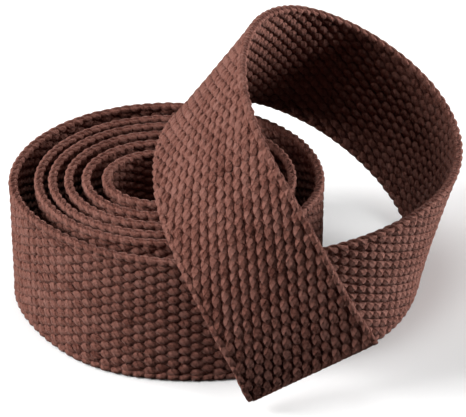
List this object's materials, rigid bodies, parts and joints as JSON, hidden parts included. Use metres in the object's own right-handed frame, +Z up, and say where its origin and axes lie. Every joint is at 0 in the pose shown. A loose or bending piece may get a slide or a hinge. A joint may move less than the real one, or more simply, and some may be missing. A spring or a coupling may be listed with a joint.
{
  "type": "martial arts belt",
  "caption": "Plain woven cotton belt strap rolled on its edge into a flat coil, its free end looped back over the coil.",
  "frame": {"origin": "middle of the bounding box's bottom, on the surface that the strap's lower edge stands on", "axes": "+Z up, across the coiled strap; +X to the right, towards the open loop; -Y to the front, where the cut end hangs"},
  "size_m": [0.1392, 0.1238, 0.0839],
  "materials": {
    "web": "coarse plain weave, matte",
    "selvedge": "firm woven edge, matte"
  },
  "bodies": {
    "coil": {"turn_6_web": "web", "turn_6_upper_selvedge": "selvedge", "turn_6_lower_selvedge": "selvedge", "turn_5_web": "web", "turn_5_upper_selvedge": "selvedge", "turn_5_lower_selvedge": "selvedge", "turn_4_web": "web", "turn_4_upper_selvedge": "selvedge", "turn_4_lower_selvedge": "selvedge", "turn_3_web": "web", "turn_3_upper_selvedge": "selvedge", "turn_3_lower_selvedge": "selvedge", "turn_2_web": "web", "turn_2_upper_selvedge": "selvedge", "turn_2_lower_selvedge": "selvedge", "outer_turn_back_web": "web", "outer_turn_back_upper_selvedge": "selvedge", "outer_turn_back_lower_selvedge": "selvedge"},
    "outer_turn": {"outer_turn_front_web": "web", "outer_turn_front_upper_selvedge": "selvedge", "outer_turn_front_lower_selvedge": "selvedge"},
    "loop": {"exit_band_web": "web", "exit_band_upper_selvedge": "selvedge", "exit_band_lower_selvedge": "selvedge", "right_bend_web": "web", "right_bend_upper_selvedge": "selvedge", "right_bend_lower_selvedge": "selvedge", "far_side_web": "web", "far_side_upper_selvedge": "selvedge", "far_side_lower_selvedge": "selvedge", "top_bend_web": "web", "top_bend_upper_selvedge": "selvedge", "top_bend_lower_selvedge": "selvedge"},
    "tail": {"tail_web": "web", "tail_upper_selvedge": "selvedge", "tail_lower_selvedge": "selvedge"},
    "tail_tip": {"tail_tip_web": "web", "tail_tip_upper_selvedge": "selvedge", "tail_tip_lower_selvedge": "selvedge"}
  },
  "joints": [
    {"name": "outer_turn_peel", "type": "hinge", "parent": "coil", "child": "outer_turn", "pos_m": [-0.06805, 0.0076, 0.02], "axis": [0, 0, -1], "range_deg": [0, 8], "stiffness_Nm_per_rad": 0.05},
    {"name": "loop_peel", "type": "hinge", "parent": "outer_turn", "child": "loop", "pos_m": [-0.04111, -0.03438, 0.02], "axis": [0, 0, -1], "range_deg": [0, 20], "stiffness_Nm_per_rad": 0.05},
    {"name": "tail_lift", "type": "hinge", "parent": "loop", "child": "tail", "pos_m": [-0.00843, 0.016, 0.06763], "axis": [-0.5947, 0.1032, -0.7973], "range_deg": [0, 30], "stiffness_Nm_per_rad": 0.05},
    {"name": "tip_flex", "type": "hinge", "parent": "tail", "child": "tail_tip", "pos_m": [0.00224, -0.04723, 0.04822], "axis": [-0.8614, -0.0894, -0.5], "range_deg": [0, 40], "stiffness_Nm_per_rad": 0.02}
  ]
}
